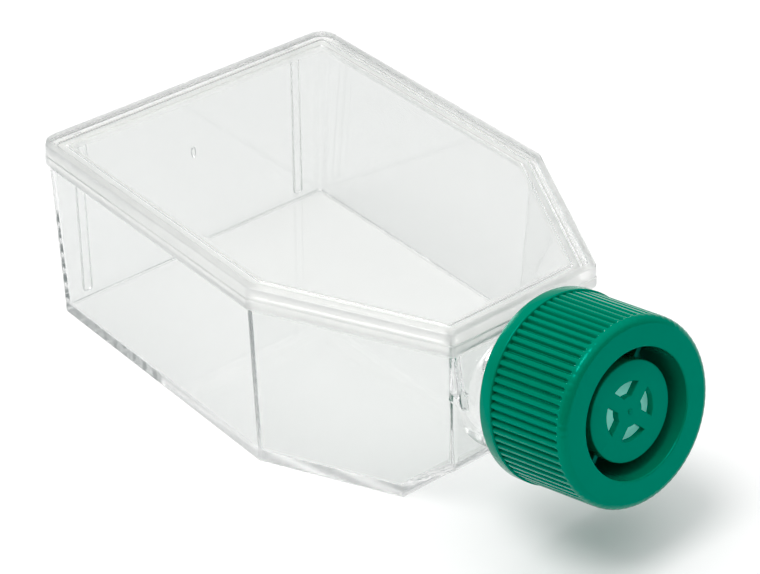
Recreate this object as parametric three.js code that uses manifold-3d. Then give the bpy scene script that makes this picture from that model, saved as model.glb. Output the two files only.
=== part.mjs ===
// Cell culture flask with a canted neck and a vented screw cap, lying on its growth floor.
// Millimetres, +Z up, +X towards the cap, symmetric about the XZ plane.
import * as THREE from 'three';
import { mergeVertices } from 'three/addons/utils/BufferGeometryUtils.js';
import Module from 'manifold-3d';

const wasm = await Module();
wasm.setup();
const { Manifold, Mesh: SolidMesh } = wasm;

// ---- Driving dimensions -----------------------------------------------------------------

// Flask plan at the rim, measured forwards from the rear edge
const WIDTH = 49.2;                // across the straight sides
const STRAIGHT = 45.7;            // rear edge to where the shoulders start
const FRONT_X = 69.9;             // rear edge to the front edge
const FRONT_WIDTH = 23.7;
const REAR_CORNER = 2.6;          // plan radii
const BREAK_CORNER = 1.2;
const FRONT_CORNER = 0.8;

// Heights of the flask
const HEIGHT = 27.85;             // floor to the top of the top plate
const JOINT_Z = 25.9;             // rim of the body
const WELD_GAP = 0.25;            // between the rim and the top plate
const RIM_FOOT_Z = 24.75;         // lower edge of the rim band
const WALL_TOP_Z = 24.2;          // where the wall proper starts
const WALL = 1.2;
const FLOOR = 1.3;
const WALL_INSET = 0.45;          // wall behind the rim band
const SIDE_DRAFT = 1.1;           // the walls' further lean inwards at their foot
const END_DRAFT = 0.25;

// Ramp between the floor and the front wall, in side view: how far behind the front wall, and
// how high. A short upright foot stands under it.
const RAMP = [[6.5, 0.98], [4.55, 3.03], [2.5, 4.83], [0, 6.7]];

// Top plate
const PLATE_INSET = 0.1;          // top plate's edge, inside the body's outline
const PLATE_EDGE = 0.22;          // rounded top edge of the plate
const PLATE_UNDERSIDE = JOINT_Z + WELD_GAP;
const LOCATING_RIB = 0.5;         // depth of the rib that locates the plate in the body
const LOCATING_RIB_WIDTH = 1.2;
const GATE_NICK = 1.1;            // width of the nick left by the gate, in the rear edge

// Neck and cap share one axis, canted up from the floor
const CANT = THREE.MathUtils.degToRad(14);
const CAP_SEAT = new THREE.Vector3(75.4, 0, 18.3); // centre of the cap's open end
const NECK_OUTER = 10.2;
const NECK_BORE = 9.2;
const NECK_MOUTH = 12.8;          // distances along the axis from CAP_SEAT
const NECK_PLATE = -4.2;          // about where the neck leaves the inclined plate
const NECK_ROUND = -0.9;          // from here to the mouth the neck is round
const THROAT_HEIGHT = 7.15;       // axis to the flattened top of the throat

// Inclined plate that carries the neck: flush under the rim, proud at its foot
const PLATE_HALF_WIDTH = 11.6;
const PLATE_TOP_X = 69.55;
const PLATE_FOOT_X = 71.15;
const PLATE_FOOT_Z = 16.6;

// Cap
const CAP_LENGTH = 14.3;
const CAP_COLLAR = 12.35;         // radii
const CAP_CREST = 12.15;
const CAP_FRONT_CREST = 11.95;
const RIB_DEPTH = 0.42;
const RIBS = 70;
const COLLAR_LENGTH = 2.0;
const SHOULDER = 1.1;             // radius of the rounded front edge
const SKIRT_BORE = 11.0;
const TOP_WALL = 1.2;
const GROOVE_OUTER = 8.2;         // ring groove round the vent boss
const GROOVE_FLOOR = 7.4;
const PLUG_OUTER = 8.95;          // plug that seals in the neck
const BOSS = 6.35;
const BOSS_BORE = 5.2;
const BOSS_FACE = 13.0;
const BOSS_WALL = 0.9;
const WEB_TOP = 10.6;
const WEB_THICKNESS = 0.8;
const WEB_ANGLE = THREE.MathUtils.degToRad(50);

// Vent windows in the boss, and the filter under them
const VENT_INNER = 1.95;
const VENT_OUTER = 3.72;
const SPOKE = 1.85;
const FILTER_RADIUS = 4.9;
const FILTER_THICKNESS = 0.3;
const FILTER_GAP = 0.25;

const ARC_STEPS = 5;              // facets on a plan corner
const ROUND_STEPS = 60;           // facets on a full turn

// ---- Solids -----------------------------------------------------------------------------

const solidOf = (geometry) => {
  const bare = new THREE.BufferGeometry();
  bare.setAttribute('position', geometry.getAttribute('position').clone());
  if (geometry.index) bare.setIndex(geometry.index.clone());
  const welded = mergeVertices(bare, 1e-4);
  return new Manifold(new SolidMesh({
    numProp: 3,
    vertProperties: Float32Array.from(welded.getAttribute('position').array),
    triVerts: Uint32Array.from(welded.index.array),
  }));
};

const geometryOf = (solid) => {
  const mesh = solid.getMesh();
  const geometry = new THREE.BufferGeometry();
  geometry.setAttribute('position', new THREE.BufferAttribute(new Float32Array(mesh.vertProperties), 3));
  geometry.setIndex([...mesh.triVerts]);
  geometry.computeVertexNormals();
  return geometry;
};

// Skin over a stack of rings with equal point counts, closed at both ends. Rings turn
// anticlockwise seen from the far end of the stack.
const loft = (rings) => {
  const count = rings[0].length;
  const positions = rings.flat().flatMap((p) => [p.x, p.y, p.z]);
  const index = [];
  for (let r = 0; r + 1 < rings.length; r++) {
    for (let i = 0; i < count; i++) {
      const a = r * count + i;
      const b = r * count + ((i + 1) % count);
      index.push(a, b, b + count, a, b + count, a + count);
    }
  }
  for (const [ring, flip] of [[0, true], [rings.length - 1, false]]) {
    const middle = rings[ring].reduce((sum, p) => sum.add(p), new THREE.Vector3());
    middle.divideScalar(count);
    positions.push(middle.x, middle.y, middle.z);
    const hub = positions.length / 3 - 1;
    for (let i = 0; i < count; i++) {
      const a = ring * count + i;
      const b = ring * count + ((i + 1) % count);
      index.push(...(flip ? [hub, b, a] : [hub, a, b]));
    }
  }
  const geometry = new THREE.BufferGeometry();
  geometry.setAttribute('position', new THREE.Float32BufferAttribute(positions, 3));
  geometry.setIndex(index);
  return geometry;
};

// Side profile in the XZ plane, drawn across the flask from -halfWidth to +halfWidth
const acrossY = (points, halfWidth) => {
  const shape = new THREE.Shape(points.map(([x, z]) => new THREE.Vector2(x, z)));
  const geometry = new THREE.ExtrudeGeometry(shape, { depth: 2 * halfWidth, bevelEnabled: false });
  return geometry.rotateX(Math.PI / 2).translate(0, halfWidth, 0);
};

// ---- Flask plan -------------------------------------------------------------------------

// Rim outline as a ring at height z with rounded corners, its sides and its ends moved inwards
const shoulder = Math.atan2((WIDTH - FRONT_WIDTH) / 2, FRONT_X - STRAIGHT);
const planRing = (z, sides, ends = sides) => {
  const half = WIDTH / 2 - sides;
  const breakX = STRAIGHT - sides * Math.tan(shoulder / 2);
  const frontX = FRONT_X - ends;
  const frontHalf = half - (frontX - breakX) * Math.tan(shoulder);
  const corners = [
    [ends, -half, REAR_CORNER],
    [breakX, -half, BREAK_CORNER],
    [frontX, -frontHalf, FRONT_CORNER],
    [frontX, frontHalf, FRONT_CORNER],
    [breakX, half, BREAK_CORNER],
    [ends, half, REAR_CORNER],
  ];
  return corners.flatMap(([x, y, radius], i) => {
    const here = new THREE.Vector2(x, y);
    const [before, after] = [corners[(i + 5) % 6], corners[(i + 1) % 6]];
    const back = new THREE.Vector2(before[0], before[1]).sub(here).normalize();
    const ahead = new THREE.Vector2(after[0], after[1]).sub(here).normalize();
    const halfAngle = Math.acos(back.dot(ahead)) / 2;
    const fillet = Math.max(radius - sides, 0.35);
    const centre = back.clone().add(ahead).normalize()
      .multiplyScalar(fillet / Math.sin(halfAngle)).add(here);
    const start = back.clone().multiplyScalar(fillet / Math.tan(halfAngle)).add(here).sub(centre);
    const sweep = Math.PI - 2 * halfAngle;
    return Array.from({ length: ARC_STEPS + 1 }, (_, k) => {
      const point = start.clone().rotateAround(new THREE.Vector2(), (sweep * k) / ARC_STEPS);
      return new THREE.Vector3(point.x + centre.x, point.y + centre.y, z);
    });
  });
};
const planSolid = (levels) => solidOf(loft(levels.map((level) => planRing(...level))));

// ---- Neck axis --------------------------------------------------------------------------

// Moves a geometry built about +Z from the origin onto the neck axis, seated at CAP_SEAT
const ontoAxis = (geometry) => geometry.rotateY(Math.PI / 2 - CANT)
  .translate(CAP_SEAT.x, CAP_SEAT.y, CAP_SEAT.z);

// Revolved profile of [radius, distance along the axis] points
const turned = (points, steps = ROUND_STEPS) => {
  const profile = points.map(([r, s]) => new THREE.Vector2(r, s));
  return new THREE.LatheGeometry(profile, steps).rotateX(Math.PI / 2);
};

// Throat section: round below the axis, its top pressed down to a height, at distance s.
// Before it is moved onto the axis, the section's up is -X.
const throatRing = (radius, height, s) => {
  const squareness = 2 + 0.4 * ((radius - height) / (NECK_OUTER - THROAT_HEIGHT));
  return Array.from({ length: ROUND_STEPS }, (_, i) => {
    const angle = (2 * Math.PI * i) / ROUND_STEPS;
    const across = Math.cos(angle);
    const up = Math.sin(angle);
    if (up <= 0) return new THREE.Vector3(-radius * up, radius * across, s);
    const stretch = (Math.abs(across) ** squareness + up ** squareness) ** (-1 / squareness);
    return new THREE.Vector3(-height * up * stretch, radius * across * stretch, s);
  });
};
const THROAT_BLEND = 5;
const throat = (radius, height, from, to) => {
  const blend = Array.from({ length: THROAT_BLEND + 1 }, (_, k) => {
    const t = k / THROAT_BLEND;
    const s = THREE.MathUtils.lerp(NECK_PLATE, NECK_ROUND, t);
    const lift = THREE.MathUtils.smoothstep(t, 0, 1);
    return throatRing(radius, THREE.MathUtils.lerp(height, radius, lift), s);
  });
  return loft([throatRing(radius, height, from), ...blend, throatRing(radius, radius, to)]);
};

// ---- Flask body -------------------------------------------------------------------------

const flaskBody = () => {
  const foot = (z, curl) => [
    z, WALL_INSET + SIDE_DRAFT + curl, WALL_INSET + END_DRAFT + curl,
  ];
  const outside = planSolid([
    foot(0, 0.3), foot(0.3, 0),
    [WALL_TOP_Z, WALL_INSET],
    [RIM_FOOT_Z, 0],
    [JOINT_Z - 0.15, 0],
    [JOINT_Z, 0.12],
  ]);
  const innerFoot = (z, curl) => foot(z, WALL + curl);
  const inside = planSolid([
    innerFoot(FLOOR, 0.45), innerFoot(FLOOR + 0.25, 0.12), innerFoot(FLOOR + 0.8, 0),
    [WALL_TOP_Z, WALL_INSET + WALL],
    [RIM_FOOT_Z, WALL + 0.15],
    [HEIGHT + 5, WALL + 0.15],
  ]);

  // Both skins are cut under the ramp, a wall's thickness apart
  const frontWall = FRONT_X - WALL_INSET;
  const underRamp = (back, lift) => {
    const line = RAMP.map(([behind, z]) => [frontWall - behind - back, z + lift]);
    const [first, last] = [line[0], line[line.length - 1]];
    return solidOf(acrossY([
      [first[0] - 0.1, -5], [first[0] - 0.1, first[1] - 0.7], ...line,
      [last[0] + 7, last[1] + 5], [last[0] + 7, -5],
    ], WIDTH));
  };

  // The plate's face moved back by setback, between two heights, its lower edge rounded
  const lean = (PLATE_FOOT_X - PLATE_TOP_X) / (RIM_FOOT_Z - PLATE_FOOT_Z);
  const faceX = (z) => PLATE_TOP_X + (RIM_FOOT_Z - z) * lean;
  const plate = (setback, top, foot, halfWidth, edge) => solidOf(acrossY([
    [frontWall - 3, top],
    [faceX(top) - setback, top],
    [faceX(foot + edge) - setback, foot + edge],
    [faceX(foot) - setback - edge * 0.4, foot + edge * 0.3],
    [faceX(foot) - setback - edge, foot],
    [frontWall - 3, foot],
  ], halfWidth));
  const plateOutside = plate(0, RIM_FOOT_Z, PLATE_FOOT_Z, PLATE_HALF_WIDTH, 0.5);
  const plateInside = plate(
    WALL, WALL_TOP_Z, PLATE_FOOT_Z + WALL, FRONT_WIDTH / 2 - WALL_INSET - WALL, 0.2,
  );

  // Standing feet and the gate's stub on the rear wall
  const post = new THREE.BoxGeometry(1.5, 1.5, WALL_TOP_Z - 1.4);
  const feet = [-1, 1].map((side) => solidOf(
    post.clone().translate(0.06 + 0.75, side * 18.3, (WALL_TOP_Z + 1.8) / 2),
  ));
  const gate = solidOf(new THREE.CylinderGeometry(1.1, 1.3, 0.9, 20).rotateZ(Math.PI / 2)
    .scale(1, 0.4, 1).translate(WALL_INSET + 0.15, 0, 15.8));

  const skin = outside.subtract(underRamp(0, 0));
  const hollow = inside.subtract(underRamp(0.64 * WALL, 0.77 * WALL)).add(plateInside);
  const neck = solidOf(ontoAxis(throat(NECK_OUTER, THROAT_HEIGHT, -7.5, NECK_MOUTH - 0.3)));
  const lip = solidOf(ontoAxis(turned([
    [0, NECK_MOUTH - 0.6], [NECK_OUTER, NECK_MOUTH - 0.6], [NECK_OUTER, NECK_MOUTH - 0.3],
    [NECK_OUTER - 0.3, NECK_MOUTH], [0, NECK_MOUTH],
  ])));
  const bore = solidOf(ontoAxis(throat(NECK_BORE, THROAT_HEIGHT - WALL, -10.5, NECK_MOUTH + 2)));
  return Manifold.union([skin, plateOutside, neck, lip, ...feet, gate])
    .subtract(hollow).subtract(bore);
};

// ---- Top plate --------------------------------------------------------------------------

const topPlate = () => {
  const roundedEdge = [0, 0.25, 0.5, 0.75, 1].map((t) => {
    const angle = (t * Math.PI) / 2;
    return [
      HEIGHT - PLATE_EDGE * (1 - Math.sin(angle)),
      PLATE_INSET + PLATE_EDGE * (1 - Math.cos(angle)),
    ];
  });
  const slab = planSolid([
    [PLATE_UNDERSIDE, PLATE_INSET + 0.12],
    [PLATE_UNDERSIDE + 0.15, PLATE_INSET],
    ...roundedEdge,
  ]);
  const ribInset = WALL + 0.15 + 0.3;
  const rib = planSolid([
    [PLATE_UNDERSIDE - LOCATING_RIB, ribInset + 0.1], [PLATE_UNDERSIDE + 0.1, ribInset],
  ]).subtract(planSolid([
    [PLATE_UNDERSIDE - 2, ribInset + LOCATING_RIB_WIDTH],
    [PLATE_UNDERSIDE + 1, ribInset + LOCATING_RIB_WIDTH],
  ]));
  const nick = solidOf(new THREE.BoxGeometry(0.8, GATE_NICK, 1.3)
    .translate(0, 0, PLATE_UNDERSIDE + 1.05));
  return slab.add(rib).subtract(nick);
};

// ---- Cap --------------------------------------------------------------------------------

// Ribbed band: each rib has a flat crest, sloping flanks and a narrow root, and all of them
// draw in over the rounded shoulder
const ribbedBand = () => {
  const corners = [[-0.2, 1], [0.02, 0], [0.58, 0]]; // share of a pitch, share of the depth
  const ring = (s, crest, depth) => Array.from({ length: RIBS }, (_, i) => (
    corners.map(([share, sunk]) => {
      const angle = (2 * Math.PI * (i + share)) / RIBS;
      const radius = crest - sunk * depth;
      return new THREE.Vector3(radius * Math.cos(angle), radius * Math.sin(angle), s);
    })
  )).flat();
  const last = CAP_LENGTH - SHOULDER;
  const drawIn = [0, 0.35, 0.7, 1].map((t) => {
    const angle = (t * Math.PI) / 2;
    return ring(
      last + SHOULDER * Math.sin(angle),
      CAP_FRONT_CREST - SHOULDER * (1 - Math.cos(angle)),
      RIB_DEPTH * Math.max(1 - 2 * t, 0),
    );
  });
  return loft([ring(0.8, CAP_CREST, RIB_DEPTH), ...drawIn]);
};

const capShell = () => {
  const collar = turned([
    [0, 0], [CAP_COLLAR - 0.25, 0], [CAP_COLLAR, 0.25], [CAP_COLLAR, COLLAR_LENGTH - 0.15],
    [CAP_CREST - 0.05, COLLAR_LENGTH], [0, COLLAR_LENGTH],
  ]);
  const underTop = CAP_LENGTH - TOP_WALL;
  const plateUnder = GROOVE_FLOOR - 1.1;
  // One revolved cutter for the space that takes the neck and the well behind the filter
  const neckRoom = turned([
    [0, -1], [SKIRT_BORE + 0.3, -1], [SKIRT_BORE + 0.3, 0.4], [SKIRT_BORE, 0.9],
    [SKIRT_BORE, underTop - 0.4], [SKIRT_BORE - 0.4, underTop], [PLUG_OUTER + 0.1, underTop],
    [PLUG_OUTER, underTop - 0.3], [PLUG_OUTER, plateUnder + 0.2], [PLUG_OUTER - 0.2, plateUnder],
    [BOSS_BORE, plateUnder], [BOSS_BORE, BOSS_FACE - BOSS_WALL], [0, BOSS_FACE - BOSS_WALL],
  ]);
  const groove = turned([
    [BOSS, GROOVE_FLOOR], [GROOVE_OUTER, GROOVE_FLOOR], [GROOVE_OUTER, CAP_LENGTH - 0.4],
    [GROOVE_OUTER + 0.15, CAP_LENGTH - 0.12], [GROOVE_OUTER + 0.45, CAP_LENGTH],
    [GROOVE_OUTER + 0.45, CAP_LENGTH + 1], [BOSS, CAP_LENGTH + 1], [BOSS, GROOVE_FLOOR],
  ]);
  const aboveBoss = turned([
    [0, BOSS_FACE + 0.15], [0.25, BOSS_FACE + 0.15], [0.35, BOSS_FACE],
    [BOSS - 0.3, BOSS_FACE], [BOSS + 0.2, BOSS_FACE - 0.3], [BOSS + 0.2, CAP_LENGTH + 1],
    [0, CAP_LENGTH + 1],
  ]);

  // A window is a sector of a ring, its sides parallel to the spokes
  const edge = (radius) => Math.PI / 4 - Math.asin(SPOKE / 2 / radius);
  const window = new THREE.Shape();
  window.absarc(0, 0, VENT_OUTER, -edge(VENT_OUTER), edge(VENT_OUTER), false);
  window.absarc(0, 0, VENT_INNER, edge(VENT_INNER), -edge(VENT_INNER), true);
  window.closePath();
  const windows = [0, 1, 2, 3].map((quarter) => solidOf(ontoAxis(
    new THREE.ExtrudeGeometry(window, { depth: 4, bevelEnabled: false, curveSegments: 8 })
      .rotateZ((quarter * Math.PI) / 2).translate(0, 0, BOSS_FACE - 3),
  )));

  const webReach = GROOVE_OUTER - BOSS + 0.6;
  const webs = [0, Math.PI].map((turn) => solidOf(ontoAxis(
    new THREE.BoxGeometry(webReach, WEB_THICKNESS, WEB_TOP - GROOVE_FLOOR + 0.5)
      .translate((GROOVE_OUTER + BOSS) / 2, 0, (WEB_TOP + GROOVE_FLOOR - 0.5) / 2)
      .rotateZ(Math.PI / 2 + WEB_ANGLE + turn),
  )));

  const cut = (geometry) => solidOf(ontoAxis(geometry));
  const blank = cut(collar).add(cut(ribbedBand())).subtract(cut(groove));
  return Manifold.union([blank, ...webs])
    .subtract(cut(neckRoom)).subtract(cut(aboveBoss)).subtract(Manifold.union(windows));
};

const filterMembrane = () => {
  const back = BOSS_FACE - BOSS_WALL - FILTER_GAP - FILTER_THICKNESS;
  return solidOf(ontoAxis(turned([
    [0, back], [FILTER_RADIUS, back], [FILTER_RADIUS, back + FILTER_THICKNESS],
    [0, back + FILTER_THICKNESS],
  ], 48)));
};

// ---- Assembly ---------------------------------------------------------------------------

const clear = { color: 0xe9eeec, roughness: 0.05, metalness: 0, transparent: true, opacity: 0.35 };
const green = { color: 0x009478, roughness: 0.3, metalness: 0 };
const white = { color: 0xeef2f0, roughness: 0.8, metalness: 0 };

const flask = new THREE.Group();
flask.name = 'cell_culture_flask';
const pieces = [
  ['flask_body', flaskBody(), clear],
  ['top_plate', topPlate(), clear],
  ['cap_shell', capShell(), green],
  ['filter_membrane', filterMembrane(), white],
];
for (const [name, solid, look] of pieces) {
  const mesh = new THREE.Mesh(geometryOf(solid), new THREE.MeshStandardMaterial(look));
  mesh.name = name;
  flask.add(mesh);
}

// The origin is under the middle of the whole part, on the floor
const middle = new THREE.Box3().setFromObject(flask).getCenter(new THREE.Vector3());
flask.children.forEach((mesh) => mesh.geometry.translate(-middle.x, -middle.y, 0));

export default flask;
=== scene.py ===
"""A cell culture flask of clear polystyrene with a green vented screw cap.

The script follows the flask as it is put together: the moulded body, the welded top plate, the
cap, the filter in it, and then the bench and the light. Shapes are worked out in millimetres from
the body's rear edge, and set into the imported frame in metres.
"""
import math

import bmesh
import bpy
from mathutils import Matrix, Vector


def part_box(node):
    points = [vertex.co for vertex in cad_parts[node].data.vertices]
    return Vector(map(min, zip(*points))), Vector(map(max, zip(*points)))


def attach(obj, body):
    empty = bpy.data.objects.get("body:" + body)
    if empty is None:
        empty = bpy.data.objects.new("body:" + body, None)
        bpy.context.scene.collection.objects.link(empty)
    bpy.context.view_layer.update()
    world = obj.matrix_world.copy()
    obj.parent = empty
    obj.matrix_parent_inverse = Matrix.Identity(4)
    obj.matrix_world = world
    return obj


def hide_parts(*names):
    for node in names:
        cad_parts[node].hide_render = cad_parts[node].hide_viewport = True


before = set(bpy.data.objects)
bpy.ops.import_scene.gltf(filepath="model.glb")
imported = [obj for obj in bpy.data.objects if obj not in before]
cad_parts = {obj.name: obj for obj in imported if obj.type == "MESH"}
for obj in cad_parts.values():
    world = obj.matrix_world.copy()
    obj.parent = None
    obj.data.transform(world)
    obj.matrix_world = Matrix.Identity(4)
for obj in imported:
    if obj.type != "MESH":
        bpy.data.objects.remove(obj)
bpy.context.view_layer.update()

# ==== The view ================================================================================
# The eye is above the cap's near side and looks down the flask's length at 34 degrees, through a
# long lens, so that the flask's edges stay nearly parallel.

camera = bpy.data.objects.new("camera", bpy.data.cameras.new("camera"))
bpy.context.scene.collection.objects.link(camera)
camera.data.sensor_width = 36.0
camera.data.lens = 121.04
camera.data.clip_start, camera.data.clip_end = 0.01, 20.0
camera.location = (0.20835, -0.17715, 0.20265)
camera.rotation_euler = Vector((-0.63559, 0.53033, -0.56104)).to_track_quat("-Z", "Y").to_euler()
bpy.context.scene.camera = camera

# ==== The flask body ==========================================================================
# One injection moulding of clear polystyrene: growth floor, drafted walls, tapered shoulders, the
# rim band that the top plate is welded on, the inclined plate under it and the threaded neck.
# It is polished in the mould, so it is smooth inside and out.

# The rim's outline from above: its widths, where the shoulders begin and end, and its corners
WIDTH, FRONT_WIDTH = 49.2, 23.7
STRAIGHT, FRONT_X = 45.7, 69.9
CORNER_RADII, SMALLEST_RADIUS = {"rear": 2.6, "break": 1.2, "front": 0.8}, 0.45

# Heights of the rim band, its wall, and how far the walls under it stand back
WALL_TOP_Z, RIM_FOOT_Z, WELD_Z = 24.2, 24.75, 26.15
RIM_WALL, RIM_EDGE, WALL_INSET = 1.35, 0.2, 0.45

# The walls and the floor, and how far the walls lean in towards it at the sides and at the ends
WALL, FLOOR, OUTER_EDGE, INNER_EDGE = 1.2, 1.3, 0.3, 0.45
SIDE_DRAFT, END_DRAFT = 1.1, 0.25

# The front: a curved ramp of (distance behind the front wall, height), its wall's thickness
# backwards and upwards, and the inclined plate
RAMP = ((6.5, 0.98), (5.52, 2.06), (4.55, 3.03), (3.52, 3.98), (2.5, 4.83), (1.25, 5.78), (0, 6.7))
RAMP_WALL = (0.64 * WALL, 0.77 * WALL)
INCLINE_HALF_WIDTH, INCLINE_TOP_X, INCLINE_FOOT_X, INCLINE_FOOT_Z = 11.6, 69.55, 71.15, 16.6

# The neck, in distances along its axis from the cap's seat. Its throat has a flattened top, which
# turns round before the thread begins.
CANT, CAP_SEAT = math.radians(14), Vector((75.4, 0.0, 18.3))
NECK_OUTER, NECK_BORE, NECK_MOUTH, LIP_EDGE = 10.2, 9.2, 12.8, 0.35
THROAT_HEIGHT, FLAT_UNTIL, ROUND_FROM = 7.15, -4.2, -0.9
THREAD_LEAD, THREAD_START, THREAD_END, NECK_THREAD = 4.0, 1.6, 11.2, 0.55

# On the rear wall: two standing feet, and an oval gate mark of (distance from the face, radius)
FOOT_FROM_MIDDLE, FOOT_HALF_WIDTH, FOOT_EDGE = 18.3, 0.75, 0.5
FOOT_BACK_X, FOOT_ROOT_X, FOOT_LOW_Z, FOOT_TOP_Z = 0.06, 1.56, 1.8, WALL_TOP_Z + 0.4
MARK_Z, MARK_RINGS = 15.8, ((0.5, 0.95), (0.0, 0.9), (-0.2, 0.75), (-0.3, 0.45))

# From the rear edge, in millimetres, into the frame, in metres
into_frame = Matrix.Translation((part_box("flask_body")[0][0], 0, 0)) @ Matrix.Scale(0.001, 4)
# From the neck's own axis, +Z towards its mouth and +X down, to the flask
onto_axis = Matrix.Translation(CAP_SEAT) @ Matrix.Rotation(math.pi / 2 - CANT, 4, "Y")


def solid(mesh, place=None):
    """A bmesh as an object with outward faces, moved to its place."""
    bmesh.ops.recalc_face_normals(mesh, faces=mesh.faces)
    data = bpy.data.meshes.new("solid")
    mesh.to_mesh(data)
    mesh.free()
    if place:
        data.transform(place)
    made = bpy.data.objects.new("solid", data)
    bpy.context.scene.collection.objects.link(made)
    return made


def skin(rings, place=None, looped=False):
    """A closed skin over rings of equally many points, capped at both ends unless looped."""
    mesh = bmesh.new()
    loops = [[mesh.verts.new(point) for point in ring] for ring in rings]
    pairs = list(zip(loops, loops[1:] + loops[:1]))
    for lower, upper in pairs if looped else pairs[:-1]:
        for i, j in zip(range(len(lower)), [*range(1, len(lower)), 0]):
            mesh.faces.new((lower[i], lower[j], upper[j], upper[i]))
    if not looped:
        mesh.faces.new(loops[0])
        mesh.faces.new(loops[-1])
    return solid(mesh, place)


def prism(outline, half_width, rounding=0.0, segments=3):
    """A side outline of (x, z) points drawn across the flask, its edges rounded if wished."""
    mesh = bmesh.new()
    sides = [[mesh.verts.new((x, y, z)) for x, z in outline] for y in (-half_width, half_width)]
    for i, j in zip(range(len(outline)), [*range(1, len(outline)), 0]):
        mesh.faces.new((sides[0][i], sides[0][j], sides[1][j], sides[1][i]))
    for side in sides:
        mesh.faces.new(side)
    if rounding:
        bmesh.ops.bevel(mesh, geom=mesh.edges, offset=rounding, segments=segments, profile=0.5,
                        affect="EDGES", clamp_overlap=True)
    return solid(mesh)


def combine(operation, first, *others):
    """The first solid, with the others joined to it or cut out of it."""
    for other in others:
        step = first.modifiers.new(operation, "BOOLEAN")
        step.operation, step.solver, step.object = operation, "MANIFOLD", other
    settle(first)
    for other in others:
        bpy.data.objects.remove(other)
    return first


def open_weld(piece, facing):
    """Takes away the faces in the weld, where two mouldings have melted into one."""
    mesh = bmesh.new()
    mesh.from_mesh(piece.data)
    in_weld = [face for face in mesh.faces if face.normal.z * facing > 0.9
               and all(abs(corner.co.z - WELD_Z) < 1e-4 for corner in face.verts)]
    bmesh.ops.delete(mesh, geom=in_weld, context="FACES")
    mesh.to_mesh(piece.data)
    mesh.free()


def settle(piece):
    """Turns a piece's modifiers into its mesh."""
    now = piece.evaluated_get(bpy.context.evaluated_depsgraph_get())
    done = bpy.data.meshes.new_from_object(now)
    piece.modifiers.clear()
    piece.data = done


def polish(piece, name, body, finish, crease=28):
    """Names a piece, sets it into the frame, smooths it, and gives it its finish and body."""
    piece.name = piece.data.name = name
    piece.data.transform(into_frame)
    piece.data.shade_smooth()
    piece.data.set_sharp_from_angle(angle=math.radians(crease))
    even = piece.modifiers.new("even", "WEIGHTED_NORMAL")
    even.keep_sharp = True
    settle(piece)
    piece.data.materials.clear()
    piece.data.materials.append(finish)
    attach(piece, body)


def arc(radius, steps):
    """A quarter round for an edge of that radius: how far along one face, and off it."""
    angles = [math.radians(90 * k / steps) for k in range(steps + 1)]
    return [(radius * math.sin(a), radius * (1 - math.cos(a))) for a in angles]


# How far the shoulders turn in from the straight sides
shoulder = math.atan2((WIDTH - FRONT_WIDTH) / 2, FRONT_X - STRAIGHT)


def plan_ring(z, sides, ends=None):
    """The rim's outline at one height, with rounded corners, its sides and ends moved inwards."""
    ends = sides if ends is None else ends
    half = WIDTH / 2 - sides
    break_x = STRAIGHT - sides * math.tan(shoulder / 2)
    front_half = half - (FRONT_X - ends - break_x) * math.tan(shoulder)
    near = [(ends, half, "rear", 14), (break_x, half, "break", 6),
            (FRONT_X - ends, front_half, "front", 8)]
    corners = [(x, -y, kind, steps) for x, y, kind, steps in near] + near[::-1]
    points = []
    for i, (x, y, kind, steps) in enumerate(corners):
        here = Vector((x, y))
        back = (Vector(corners[i - 1][:2]) - here).normalized()
        ahead = (Vector(corners[(i + 1) % 6][:2]) - here).normalized()
        half_angle = math.acos(back.dot(ahead)) / 2
        radius = max(CORNER_RADII[kind] - sides, SMALLEST_RADIUS)
        centre = here + (back + ahead).normalized() * (radius / math.sin(half_angle))
        start = here + back * (radius / math.tan(half_angle)) - centre
        for k in range(steps + 1):
            turn = Matrix.Rotation((math.pi - 2 * half_angle) * k / steps, 2)
            points.append((*(centre + turn @ start), z))
    return points


def plan_solid(levels):
    """A solid with the rim's outline, from its (height, sides, ends) levels."""
    return skin([plan_ring(*level) for level in levels])


def turned(profile, steps=160, looped=False):
    """A profile of (radius, distance) points turned round the neck's axis."""
    angles = [2 * math.pi * i / steps for i in range(steps)]
    return skin([[(r * math.cos(a), r * math.sin(a), s) for a in angles] for r, s in profile],
                onto_axis, looped)


def throat(radius, height, start, end, steps=160):
    """The neck's skin: flattened on top where it passes under the rim, round under the cap."""
    def ring(top, s):
        squareness = 2 + 0.4 * (radius - top) / (NECK_OUTER - THROAT_HEIGHT)
        points = []
        for i in range(steps):
            across = math.cos(2 * math.pi * i / steps)
            up = math.sin(2 * math.pi * i / steps)
            reach = 1.0
            if up > 0:
                reach = (abs(across) ** squareness + up ** squareness) ** (-1 / squareness)
            points.append((-(top if up > 0 else radius) * up * reach, radius * across * reach, s))
        return points

    rings = [ring(height, start)]
    for k in range(17):
        t = k / 16
        rings.append(ring(height + (radius - height) * t * t * (3 - 2 * t),
                          FLAT_UNTIL + (ROUND_FROM - FLAT_UNTIL) * t))
    rings.append(ring(radius, end))
    return skin(rings, onto_axis)


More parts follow.
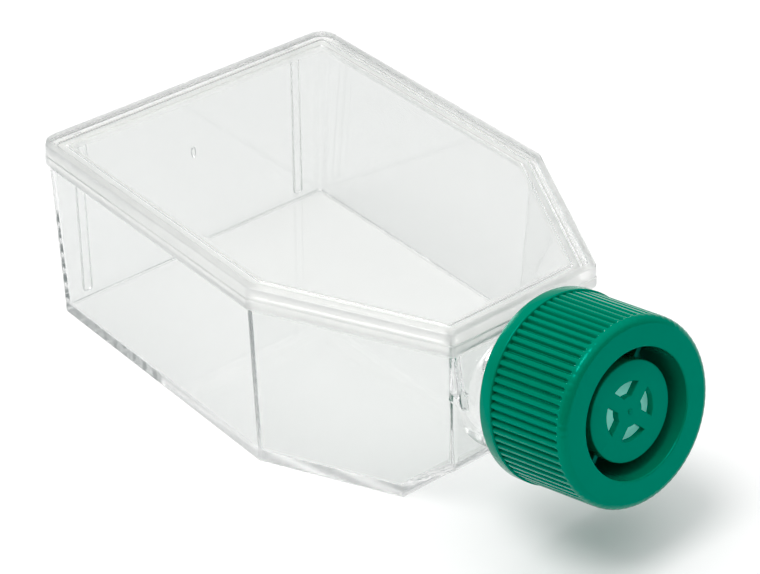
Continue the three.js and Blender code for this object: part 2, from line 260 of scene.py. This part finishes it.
def thread(root, crest, phase, width=1.5, steps=60):
    """A rounded thread, its foot sunk in the wall. It rises and runs out over a ninth of a turn."""
    section = ((-0.5, 0, 0.25), (-0.5, 0, 0), (-0.33, 0.7, 0), (-0.16, 1, 0),
               (0.16, 1, 0), (0.33, 0.7, 0), (0.5, 0, 0), (0.5, 0, 0.25))
    depth = abs(crest - root)
    side = math.copysign(1, crest - root)
    turns = (THREAD_END - THREAD_START) / THREAD_LEAD
    count = round(turns * steps)
    rings = []
    for k in range(count + 1):
        turn = turns * k / count
        run_out = min(1.0, min(turn, turns - turn) * 9)
        rise = depth * run_out ** 0.5 - 0.04
        angle = phase + 2 * math.pi * turn
        ring = []
        for along, up, sunk in section:
            radius = root + side * rise * up - side * sunk
            ring.append((radius * math.cos(angle), radius * math.sin(angle),
                         THREAD_START + THREAD_LEAD * turn + width * along))
        rings.append(ring)
    return skin(rings, onto_axis)


def wall_foot(z, inset, rounding, steps):
    """The walls' lower edge, drafted inwards, with that rounding."""
    return [(z + b, inset + SIDE_DRAFT + rounding - a, inset + END_DRAFT + rounding - a)
            for a, b in arc(rounding, steps)]


def under_ramp(back, lift):
    """All that lies below the ramp under the neck, or below a ramp that far back and above it."""
    front_wall = FRONT_X - WALL_INSET
    line = [(front_wall - behind - back, z + lift) for behind, z in RAMP]
    (x0, z0), (x1, z1) = line[0], line[-1]
    return prism([(x0 - 0.1, -5), (x0 - 0.1, z0 - 0.7), *line, (x1 + 7, z1 + 5), (x1 + 7, -5)], WIDTH)


def inclined_plate(setback, top, foot, half_width, corner, rounding):
    """The inclined plate, from inside the front wall out to its leaning face. Its lower corners
    are round, and its edges soft."""
    lean = (INCLINE_FOOT_X - INCLINE_TOP_X) / (RIM_FOOT_Z - INCLINE_FOOT_Z)

    def outline(inset):
        radius, reach = corner - inset, half_width - inset
        turns = [math.radians(15 * k) for k in range(7)]
        return ([(-reach, top)]
                + [(radius - reach - radius * math.cos(a), foot + corner - radius * math.sin(a))
                   for a in turns]
                + [(reach - radius + radius * math.sin(a), foot + corner - radius * math.cos(a))
                   for a in turns]
                + [(reach, top)])

    def on_face(back, inset):
        return [(INCLINE_TOP_X + (RIM_FOOT_Z - z) * lean - setback - back, y, z)
                for y, z in outline(inset)]

    root = [(FRONT_X - WALL_INSET - 3, y, z) for y, z in outline(0)]
    return skin([root] + [on_face(rounding - a, b) for a, b in arc(rounding, 5)])


def hollow():
    """The growth space, over the ramp and into the inclined plate."""
    inset = WALL_INSET + WALL
    step_out = [(WALL_TOP_Z - 0.1, inset + 0.01), (WALL_TOP_Z + 0.05, inset - 0.04),
                (RIM_FOOT_Z, RIM_WALL), (WELD_Z + 8, RIM_WALL)]
    room = plan_solid(wall_foot(FLOOR, inset, INNER_EDGE, 6) + step_out)
    room = combine("DIFFERENCE", room, under_ramp(*RAMP_WALL))
    behind_plate = inclined_plate(WALL, WALL_TOP_Z, INCLINE_FOOT_Z + WALL,
                                  FRONT_WIDTH / 2 - inset, corner=0.8, rounding=0.25)
    return combine("UNION", room, behind_plate)


def standing_foot(side):
    """One of the two low ridges on the rear wall, which the flask stands on when it is upright."""
    foot = prism([(FOOT_BACK_X, FOOT_LOW_Z), (FOOT_ROOT_X, FOOT_LOW_Z),
                  (FOOT_ROOT_X, FOOT_TOP_Z), (FOOT_BACK_X, FOOT_TOP_Z)],
                 FOOT_HALF_WIDTH, FOOT_EDGE, 6)
    foot.data.transform(Matrix.Translation((0, FOOT_FROM_MIDDLE * side, 0)))
    return foot


def flask_body():
    """The whole moulding: its outer form with the neck, and the hollow and the bore cut out."""
    step_out = [(WALL_TOP_Z - 0.1, WALL_INSET + 0.01), (WALL_TOP_Z + 0.05, WALL_INSET - 0.05),
                (RIM_FOOT_Z - 0.1, 0.08), (RIM_FOOT_Z + 0.08, 0.0)]
    rim_edge = [(WELD_Z - RIM_EDGE + a, b) for a, b in arc(RIM_EDGE, 4)]
    shell = plan_solid(wall_foot(0, WALL_INSET, OUTER_EDGE, 5) + step_out + rim_edge)
    shell = combine("DIFFERENCE", shell, under_ramp(0, 0))
    front = inclined_plate(0, RIM_FOOT_Z + 0.2, INCLINE_FOOT_Z, INCLINE_HALF_WIDTH,
                           corner=1.5, rounding=0.4)
    neck = throat(NECK_OUTER, THROAT_HEIGHT, start=-7.5, end=NECK_MOUTH - 0.5)
    lip = turned([(NECK_OUTER - 0.6, NECK_MOUTH - 0.9), (NECK_OUTER, NECK_MOUTH - 0.9)]
                 + [(NECK_OUTER - b, NECK_MOUTH - LIP_EDGE + a) for a, b in arc(LIP_EDGE, 4)])
    feet = [standing_foot(side) for side in (-1, 1)]
    mark = skin([[(WALL_INSET + x, 0.4 * r * math.cos(a), MARK_Z + r * math.sin(a))
                  for a in [math.pi * k / 16 for k in range(32)]] for x, r in MARK_RINGS])
    neck_thread = thread(NECK_OUTER, NECK_OUTER + NECK_THREAD, 0.0)
    outside = combine("UNION", shell, front, neck, lip, *feet, mark, neck_thread)
    bore = throat(NECK_BORE, THROAT_HEIGHT - WALL, start=-10.5, end=NECK_MOUTH + 2)
    return combine("DIFFERENCE", outside, hollow(), bore)


class Signal:
    """A node's output. Arithmetic with numbers and with other signals adds Math nodes."""

    def __init__(self, finish, socket):
        self.finish, self.socket = finish, socket

    def math(self, operation, *values):
        """A Math node of that operation on those values."""
        return self.finish.node("Math", {"operation": operation}, dict(enumerate(values)))

    def __add__(self, other):
        return self.math("ADD", self, other)

    def __sub__(self, other):
        return self.math("SUBTRACT", self, other)

    def __rsub__(self, other):
        return self.math("SUBTRACT", other, self)

    def __mul__(self, other):
        return self.math("MULTIPLY", self, other)

    def __gt__(self, level):
        return self.math("GREATER_THAN", self, level)

    def __abs__(self):
        return self.math("ABSOLUTE", self)

    __radd__, __rmul__ = __add__, __mul__


class Finish:
    """The nodes of a material or of the sky. node() takes a node's type, its settings, and the
    values or links of its sockets."""

    def __init__(self, owner):
        self.owner = owner
        owner.use_nodes = True
        self.tree = owner.node_tree
        self.tree.nodes.clear()

    def node(self, kind, settings=None, sockets=None, out=0):
        made = self.tree.nodes.new("ShaderNode" + kind)
        for name, value in (settings or {}).items():
            setattr(made, name, value)
        for name, value in (sockets or {}).items():
            if isinstance(value, Signal):
                self.tree.links.new(value.socket, made.inputs[name])
            else:
                made.inputs[name].default_value = value
        return Signal(self, made.outputs[out]) if made.outputs else made

    def noise(self, scale, detail):
        """A cloudy pattern that stays with the piece."""
        place = self.node("TexCoord", out="Object")
        return self.node("TexNoise", sockets={"Vector": place, "Scale": scale, "Detail": detail})

    def blend(self, share, first, second):
        """The first colour where the share is 0, and the second where it is 1."""
        return self.node("Mix", {"data_type": "RGBA"}, {0: share, 6: first, 7: second}, out=2)

    def ease(self, value, start, end, first=0.0, last=1.0):
        """A smooth passage from one number to another while the value goes from start to end."""
        return self.node("MapRange", {"interpolation_type": "SMOOTHSTEP"},
                         {0: value, 1: start, 2: end, 3: first, 4: last})

    def surface(self, shader):
        self.node("OutputMaterial", sockets={"Surface": shader})
        return self.owner


# The clear finish: its tints, the upright walls' darker tint being painted shade, and its roughness
# where it is polished, smeared, and satin
FLAT_TINT, UPRIGHT_PAINTED_SHADE_TINT = (0.955, 0.96, 0.953, 1), (0.832, 0.84, 0.835, 1)
RIM_TINT, LIES_FLAT = (0.912, 0.915, 0.898, 1), 0.7
POLISH, SMEARS, RIM_SATIN = 0.02, 0.015, 0.265

# How it refracts, what it reflects head on, and how far its grazed edges shade the bench
REFRACTION, HEAD_ON_GLOSS, EDGE_SHADE = 1.59, 0.055, 0.3

# How far inside the rim's outline the satin begins and is full, and how much less far on top
SATIN_BEGINS, SATIN_FULL = 4.2, 2.8
LID_FACE_Z, LESS_ON_TOP = 27.7, 1.9


def satin_rim(finish):
    """1 on the rim band, which welding has left satin, and 0 on the clear panels."""
    place = finish.node("TexCoord", out="Object")
    along, across, height = (finish.node("SeparateXYZ", sockets={0: place}, out=axis)
                             for axis in "XYZ")
    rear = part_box("flask_body")[0][0]
    past_side = abs(across) - WIDTH / 2000
    past_break = along - (rear + STRAIGHT / 1000)
    past_shoulder = past_side * math.cos(shoulder) + past_break * math.sin(shoulder)
    outward = past_side
    for past_edge in (past_shoulder, rear - along, along - (rear + FRONT_X / 1000)):
        outward = outward.math("MAXIMUM", outward, past_edge)
    outward = outward - LESS_ON_TOP / 1000 * (height > LID_FACE_Z / 1000)
    in_band = finish.ease(outward, -SATIN_BEGINS / 1000, -SATIN_FULL / 1000)
    return (height > WALL_TOP_Z / 1000) * in_band


def clear_moulding():
    """Polished polystyrene. Its upright walls carry a darker tint than its flat panels: painted shade,
    standing for the shaded bench seen through them. Light on its way to the bench passes through it,
    except where it only grazes the plastic."""
    finish = Finish(bpy.data.materials.new("clear_polystyrene"))
    flow = finish.noise(45.0, 2.0)
    bump = finish.node("Bump", sockets={"Strength": 1.0, "Distance": 0.00002, "Height": flow})
    smear = finish.noise(120.0, 3.0)
    facing = finish.node("NewGeometry", out="Normal")
    upward = finish.node("SeparateXYZ", sockets={0: facing}, out="Z")
    # painted shade: upright walls take a darker tint than flat panels, standing for the shaded bench
    # seen through them
    panel_tint_with_painted_shade = finish.blend(abs(upward) > LIES_FLAT, UPRIGHT_PAINTED_SHADE_TINT, FLAT_TINT)
    rim = satin_rim(finish)
    plastic = finish.node("BsdfPrincipled", sockets={
        "Base Color": finish.blend(rim, panel_tint_with_painted_shade, RIM_TINT),
        "Roughness": POLISH + SMEARS * smear + RIM_SATIN * rim,
        "IOR": REFRACTION, "Transmission Weight": 1.0, "Normal": bump})
    passed = finish.node("BsdfTransparent", sockets={"Color": (0.995, 0.996, 0.995, 1)})
    shadow = finish.node("LightPath", out="Is Shadow Ray")
    diffuse = finish.node("LightPath", out="Is Diffuse Ray")
    grazing = finish.node("Fresnel", sockets={"IOR": REFRACTION}) - HEAD_ON_GLOSS
    straight = diffuse.math("MAXIMUM", diffuse, shadow * (1 - EDGE_SHADE * grazing))
    return finish.surface(finish.node("MixShader", sockets={0: straight, 1: plastic, 2: passed}))


clear_polystyrene = clear_moulding()
body = flask_body()
open_weld(body, 1)
polish(body, "flask_moulding", "flask", clear_polystyrene)
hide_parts("flask_body")

# ==== The top plate ===========================================================================
# A flat clear moulding, welded on the rim all round, so that the two melt into one there. A rib
# underneath locates it inside the rim, and a nick in its rear edge shows where it was gated.

# The plate, the rib inside the rim, and the nick
HEIGHT, LID_INSET, LID_EDGE = 27.85, 0.1, 0.22
LOCATING_DEPTH, LOCATING_GAP, LOCATING_WIDTH, LOCATING_EDGE = 0.5, 0.3, 1.2, 0.3
NICK_HALF_WIDTH, NICK_DEPTH, NICK_EDGE = 0.55, 0.42, 0.12


def locating_rib():
    """The rib under the plate, a little inside the rim, with rounded lower edges."""
    foot, top = WELD_Z - LOCATING_DEPTH, WELD_Z + 0.1
    outer, inner = RIM_WALL + LOCATING_GAP, RIM_WALL + LOCATING_GAP + LOCATING_WIDTH
    filled = plan_solid([(foot + b, outer + LOCATING_EDGE - a) for a, b in arc(LOCATING_EDGE, 6)]
                        + [(top, outer)])
    middle = plan_solid([(foot - 1, inner - LOCATING_EDGE)]
                        + [(foot + b, inner - LOCATING_EDGE + a) for a, b in arc(LOCATING_EDGE, 6)]
                        + [(top + 0.9, inner)])
    return combine("DIFFERENCE", filled, middle)


def top_plate():
    """The plate with its rounded top edge, its rib, and the nick in its rear edge."""
    slab = plan_solid([(WELD_Z + 0.02, RIM_WALL + 0.02), (WELD_Z, RIM_WALL), (WELD_Z, 0.2),
                       (WELD_Z + 0.08, LID_INSET)]
                      + [(HEIGHT - LID_EDGE + a, LID_INSET + b) for a, b in arc(LID_EDGE, 5)])
    low, high = WELD_Z + 0.4, HEIGHT - 0.3
    nick = prism([(-1, low), (NICK_DEPTH, low), (NICK_DEPTH, high), (-1, high)],
                 NICK_HALF_WIDTH, NICK_EDGE)
    return combine("DIFFERENCE", combine("UNION", slab, locating_rib()), nick)


lid = top_plate()
open_weld(lid, -1)
polish(lid, "top_plate_moulding", "flask", clear_polystyrene)
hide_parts("top_plate")

# ==== The cap =================================================================================
# One green polypropylene moulding: a fluted skirt with a plain collar, a rounded shoulder, and a
# ring groove round the vent boss. Two webs cross the groove, and four windows open the boss.

# Radii, and distances along the axis from the cap's open edge
CAP_LENGTH, COLLAR, COLLAR_LENGTH, COLLAR_FOOT_EDGE, COLLAR_TOP_EDGE = 14.3, 12.35, 2.0, 0.25, 0.2
SKIRT_BORE, TOP_WALL, CAP_THREAD = 11.0, 1.2, 0.5
GROOVE_OUTER, GROOVE_FLOOR, GROOVE_LIP, PLUG_OUTER = 8.2, 7.4, 0.22, 8.95
BOSS, BOSS_BORE, BOSS_FACE, BOSS_WALL, BOSS_EDGE = 6.35, 5.2, 13.0, 0.9, 0.16
WEB_TOP, WEB_THICKNESS, WEB_EDGE, WEB_ANGLE = 10.6, 0.8, 0.12, math.radians(50)
VENT_INNER, VENT_OUTER, SPOKE = 1.95, 3.72, 1.85

# The ribs: the skirt's radius over their crests at its start and its front, the flutes between
# them, and the shares of a rib's width that its crest and its flank take
CREST_START, CREST, FRONT_CREST, SHOULDER = 0.8, 12.18, 11.95, 1.1
RIBS, FLUTE_DEPTH, FLUTE_END = 70, 0.46, 0.75
RIB_TOP_SHARE, RIB_FLANK_SHARE, RIB_CROWN = 0.17, 0.33, 0.03


def ribbed_skirt():
    """Seventy rounded ribs with flutes between them, scooped out before the shoulder."""
    places = [(k + 0.5) / 14 - 0.5 for k in range(14)]
    flank = [min(max((abs(u) - RIB_TOP_SHARE) / RIB_FLANK_SHARE, 0), 1) for u in places]
    sunk = [0.5 - 0.5 * math.cos(math.pi * part) for part in flank]
    last = CAP_LENGTH - SHOULDER

    def ring(s, crest, depth):
        points = []
        for i in range(RIBS):
            for u, share in zip(places, sunk):
                angle = 2 * math.pi * (i + u) / RIBS
                radius = crest - depth * share - RIB_CROWN * (2 * u) ** 2
                points.append((radius * math.cos(angle), radius * math.sin(angle), s))
        return points

    rings = [ring(CREST_START, CREST, FLUTE_DEPTH)]
    for k in range(9):
        t = k / 8
        s = last - FLUTE_END * (1 - t) + 0.1 * t
        crest = CREST + (FRONT_CREST - CREST) * (s - CREST_START) / (last - CREST_START)
        rings.append(ring(s, crest, FLUTE_DEPTH * math.sqrt(max(1 - t * t, 0))))
    for a, b in arc(SHOULDER, 9)[2:]:
        rings.append(ring(last + a, FRONT_CREST - b, 0))
    return skin(rings, onto_axis)


def neck_room():
    """The space inside the cap: round the neck, round the sealing plug, and up into the boss."""
    under_top = CAP_LENGTH - TOP_WALL
    plug_foot = GROOVE_FLOOR - 1.1
    return turned([
        (SKIRT_BORE + 0.4, -1), (SKIRT_BORE + 0.4, 0.3), (SKIRT_BORE, 0.8),
        (SKIRT_BORE, under_top - 0.4), (SKIRT_BORE - 0.4, under_top), (PLUG_OUTER + 0.1, under_top),
        (PLUG_OUTER, under_top - 0.3), (PLUG_OUTER, plug_foot + 0.3), (PLUG_OUTER - 0.3, plug_foot),
        (BOSS_BORE, plug_foot), (BOSS_BORE, BOSS_FACE - BOSS_WALL)])


def over_boss():
    """The space in front of the boss, which leaves its edge rounded and a small pip in its middle."""
    return turned(
        [(0.12, BOSS_FACE + 0.2), (0.24, BOSS_FACE + 0.16), (0.32, BOSS_FACE + 0.08), (0.34, BOSS_FACE)]
        + [(BOSS - BOSS_EDGE + a, BOSS_FACE - b) for a, b in arc(BOSS_EDGE, 5)]
        + [(BOSS + 0.2, BOSS_FACE - BOSS_EDGE), (BOSS + 0.2, CAP_LENGTH + 1)])


def window(quarter):
    """One of the four windows in the boss, its edge broken at the face."""
    steps = [k / 10 * 2 - 1 for k in range(11)]

    def side(radius, wider, s, places):
        spread = math.pi / 4 - math.asin((SPOKE / 2 - wider) / radius)
        return [(radius * math.cos(e * spread), radius * math.sin(e * spread), s) for e in places]

    rings = [side(VENT_OUTER + wider, wider, s, steps)
             + side(VENT_INNER - wider, wider, s, steps[::-1])
             for s, wider in ((BOSS_FACE - 3, 0), (BOSS_FACE - 0.14, 0), (BOSS_FACE - 0.06, 0.02),
                              (BOSS_FACE + 0.01, 0.09), (BOSS_FACE + 0.5, 0.5))]
    return skin(rings, onto_axis @ Matrix.Rotation(math.pi / 2 * quarter, 4, "Z"))


def web(turn):
    """One of the two webs across the groove, which reach a little into what they join."""
    inner, outer, foot = BOSS - 0.3, GROOVE_OUTER + 0.3, GROOVE_FLOOR - 0.5
    made = prism([(inner, foot), (outer, foot), (outer, WEB_TOP), (inner, WEB_TOP)],
                 WEB_THICKNESS / 2, WEB_EDGE)
    made.data.transform(onto_axis @ Matrix.Rotation(math.pi / 2 + WEB_ANGLE + turn, 4, "Z"))
    return made


def cap_shell():
    """The whole moulding, with the thread inside its skirt."""
    collar = turned(
        [(COLLAR - COLLAR_FOOT_EDGE + a, b) for a, b in arc(COLLAR_FOOT_EDGE, 4)]
        + [(COLLAR - b, COLLAR_LENGTH - COLLAR_TOP_EDGE + a) for a, b in arc(COLLAR_TOP_EDGE, 4)],
        steps=280)
    groove = turned(
        [(BOSS, GROOVE_FLOOR), (GROOVE_OUTER, GROOVE_FLOOR)]
        + [(GROOVE_OUTER + b, CAP_LENGTH - GROOVE_LIP + a) for a, b in arc(GROOVE_LIP, 5)]
        + [(GROOVE_OUTER + GROOVE_LIP, CAP_LENGTH + 1), (BOSS, CAP_LENGTH + 1)], looped=True)
    made = combine("UNION", collar, ribbed_skirt())
    made = combine("DIFFERENCE", made, groove)
    made = combine("UNION", made, web(0), web(math.pi))
    windows = [window(quarter) for quarter in range(4)]
    made = combine("DIFFERENCE", made, neck_room(), over_boss(), *windows)
    return combine("UNION", made, thread(SKIRT_BORE, SKIRT_BORE - CAP_THREAD, math.pi))


DARKER_GREEN, LIGHTER_GREEN = (0.0, 0.168, 0.091, 1), (0.0, 0.19, 0.105, 1)
GREEN_SHEEN = (0.12, 1.0, 0.8, 1)


def green_moulding():
    """Green polypropylene with a soft gloss, its colour a little uneven where it flowed."""
    finish = Finish(bpy.data.materials.new("green_polypropylene"))
    flow = finish.noise(160.0, 3.0)
    grain = finish.noise(2600.0, 2.0)
    bump = finish.node("Bump", sockets={"Strength": 0.25, "Distance": 0.00003, "Height": grain})
    return finish.surface(finish.node("BsdfPrincipled", sockets={
        "Base Color": finish.blend(flow, DARKER_GREEN, LIGHTER_GREEN),
        "Roughness": 0.14 + 0.1 * grain, "IOR": 1.49,
        "Specular IOR Level": 0.5, "Specular Tint": GREEN_SHEEN, "Normal": bump}))


green_polypropylene = green_moulding()
cap = cap_shell()
polish(cap, "cap_moulding", "cap", green_polypropylene, crease=32)
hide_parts("cap_shell")

# ==== The filter ==============================================================================
# A thin disc of white water-repelling membrane, welded under the boss. It lets air through, and
# most of the light behind it, and shows in the four windows as a matt, faintly fibrous white.

BETWEEN_FIBRES, ON_FIBRES = (0.62, 0.86, 0.80, 1), (0.76, 0.95, 0.91, 1)
LIGHT_THROUGH, SHARE_THROUGH = (0.61, 0.98, 0.91, 1), 0.85


def membrane_finish():
    """Matt fibres on top, and the light that comes through them from inside the cap."""
    finish = Finish(bpy.data.materials.new("filter_membrane"))
    fibre = finish.noise(5200.0, 4.0)
    fuzz = finish.node("Bump", sockets={"Strength": 0.6, "Distance": 0.00005, "Height": fibre})
    matt = finish.node("BsdfPrincipled", sockets={
        "Base Color": finish.blend(fibre, BETWEEN_FIBRES, ON_FIBRES),
        "Roughness": 0.85 + 0.1 * fibre, "Normal": fuzz})
    through = finish.node("BsdfTranslucent", sockets={"Color": LIGHT_THROUGH})
    return finish.surface(finish.node("MixShader", sockets={0: SHARE_THROUGH, 1: matt, 2: through}))


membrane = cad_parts["filter_membrane"]
membrane.data.materials.clear()
membrane.data.materials.append(membrane_finish())

# ==== The bench and the light =================================================================
# A plain white bench that runs out of view on all sides. A large soft light stands over its near
# side, and a smaller one low behind the flask. The pale sky is brightest overhead, and dark low
# down in front, where it draws the flask's edges.

BENCH_HALF, BENCH_DROP = 4.0, 0.00005

bench_mesh = bmesh.new()
bmesh.ops.create_grid(bench_mesh, x_segments=1, y_segments=1, size=BENCH_HALF)
bench = solid(bench_mesh, Matrix.Translation((0, 0, -BENCH_DROP)))
bench.name = "bench"
bench_finish = Finish(bpy.data.materials.new("bench"))
bench.data.materials.append(bench_finish.surface(
    bench_finish.node("BsdfDiffuse", sockets={"Color": (0.9, 0.9, 0.9, 1)})))


def softbox(name, place, aim, size, power):
    """A round area light of that diameter, turned to what it lights."""
    lamp = bpy.data.objects.new(name, bpy.data.lights.new(name, "AREA"))
    lamp.data.shape, lamp.data.size = "DISK", size
    lamp.data.energy = power
    lamp.location = place
    lamp.rotation_euler = (Vector(aim) - Vector(place)).to_track_quat("-Z", "Y").to_euler()
    bpy.context.scene.collection.objects.link(lamp)


softbox("key", (-0.2, -1.25, 3.3), (0, 0, 0), 1.8, 49.0)
softbox("rear", (-2.2, 0.1, 0.45), (0, 0, 0.02), 1.0, 14.0)

TO_THE_FRONT, DARKEST = (0.93, -0.37, 0.0), 0.97

sky = Finish(bpy.data.worlds.new("studio"))
direction = sky.node("TexCoord")
ahead = sky.node("VectorMath", {"operation": "DOT_PRODUCT"}, {0: direction, 1: TO_THE_FRONT},
                 out="Value")
rise = sky.node("SeparateXYZ", sockets={0: direction}, out="Z")
dark = sky.ease(ahead, 0.1, 0.6, 0.0, DARKEST) * sky.ease(rise, 0.5, 0.8, 1.0, 0.0)
glow = (1 - dark) * sky.ease(rise, 0.45, 1.0, 0.6, 1.6)
backdrop = sky.node("Background", sockets={"Color": glow, "Strength": 0.915})
sky.node("OutputWorld", sockets={"Surface": backdrop})
bpy.context.scene.world = sky.owner

# Plain exposure with clear blacks, and enough bounces for light to find its way out of the
# flask's thick edges
scene = bpy.context.scene
scene.view_settings.view_transform = "Standard"
scene.view_settings.use_curve_mapping = True
scene.view_settings.curve_mapping.black_level = (0.03, 0.0, 0.0)
scene.cycles.max_bounces = 64
scene.cycles.transmission_bounces = 64
scene.cycles.glossy_bounces = 64
scene.cycles.transparent_max_bounces = 24
scene.cycles.caustics_reflective = False
scene.cycles.caustics_refractive = False
